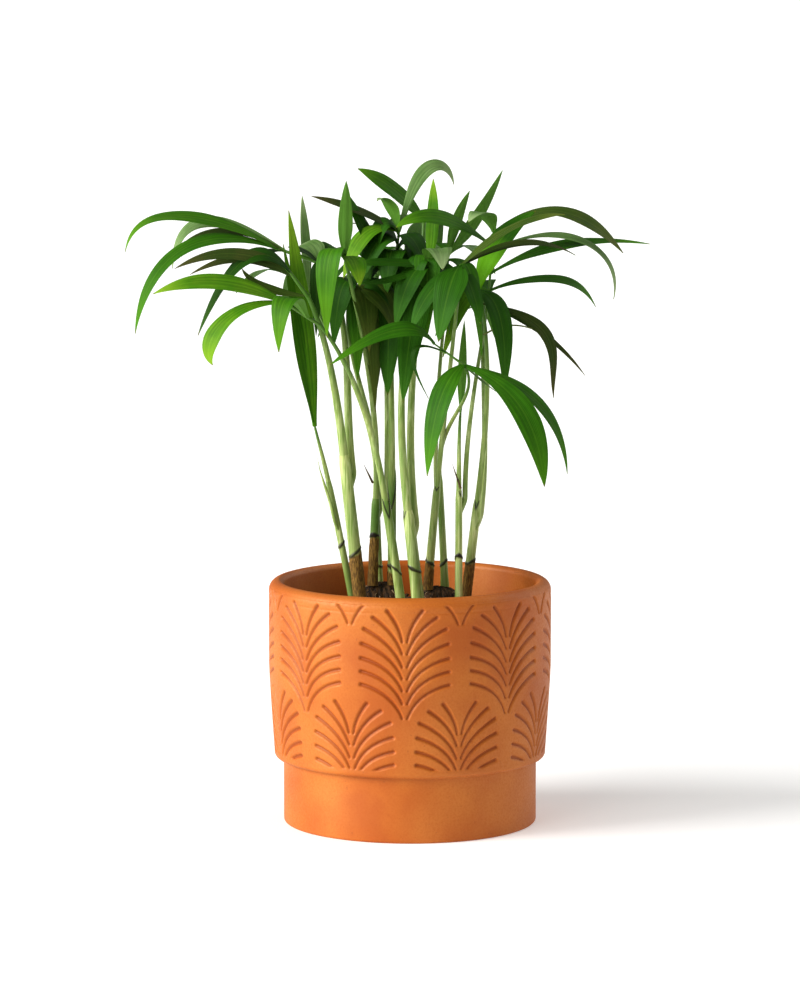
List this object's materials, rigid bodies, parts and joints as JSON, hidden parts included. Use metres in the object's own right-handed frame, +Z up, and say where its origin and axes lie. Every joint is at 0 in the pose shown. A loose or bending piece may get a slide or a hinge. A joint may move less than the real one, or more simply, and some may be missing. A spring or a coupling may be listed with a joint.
{
  "type": "potted palm",
  "caption": "Young clumping cat palm with slender stems and arching divided fronds, in a carved terracotta pot with a wide collar over a narrower foot.",
  "frame": {"origin": "middle of the pot's flat underside, which stands on the floor", "axes": "+Z up along the pot's axis and the stems, -Y towards the viewer of the picture, +X to the viewer's right"},
  "size_m": [0.2317, 0.1455, 0.2926],
  "materials": {
    "terracotta": "matt orange terracotta with an even pressed relief of fans",
    "soil": "dark brown potting soil",
    "root_bark": "dark brown fibrous root bark",
    "stem_green": "smooth pale yellow-green stem",
    "leaf_green": "glossy green leaf with a waxy upper face"
  },
  "bodies": {
    "root": {"frond_01_spear": "leaf_green", "frond_02_left": "leaf_green", "frond_03_far_left": "leaf_green", "frond_04_front_left": "leaf_green", "frond_05_front": "leaf_green", "frond_06_middle": "leaf_green", "frond_07_crest": "leaf_green", "frond_08_centre": "leaf_green", "frond_09_top": "leaf_green", "frond_10_front_right": "leaf_green", "frond_11_right": "leaf_green", "frond_12_far_right": "leaf_green", "frond_13_spear": "leaf_green", "frond_14_low_front": "leaf_green", "frond_15_back": "leaf_green", "frond_16_back_right": "leaf_green", "frond_17_back_left": "leaf_green", "frond_18_back": "leaf_green", "pot": "terracotta", "root_crown_left": "root_bark", "root_crown_right": "root_bark", "sheath_tip_left": "stem_green", "sheath_tip_right": "stem_green", "soil": "soil", "stem_01": "stem_green", "stem_02": "stem_green", "stem_03": "stem_green", "stem_04": "stem_green", "stem_05": "stem_green", "stem_06": "stem_green", "stem_07": "stem_green", "stem_08": "stem_green", "stem_09": "stem_green", "stem_10": "stem_green", "stem_11": "stem_green"}
  },
  "joints": []
}
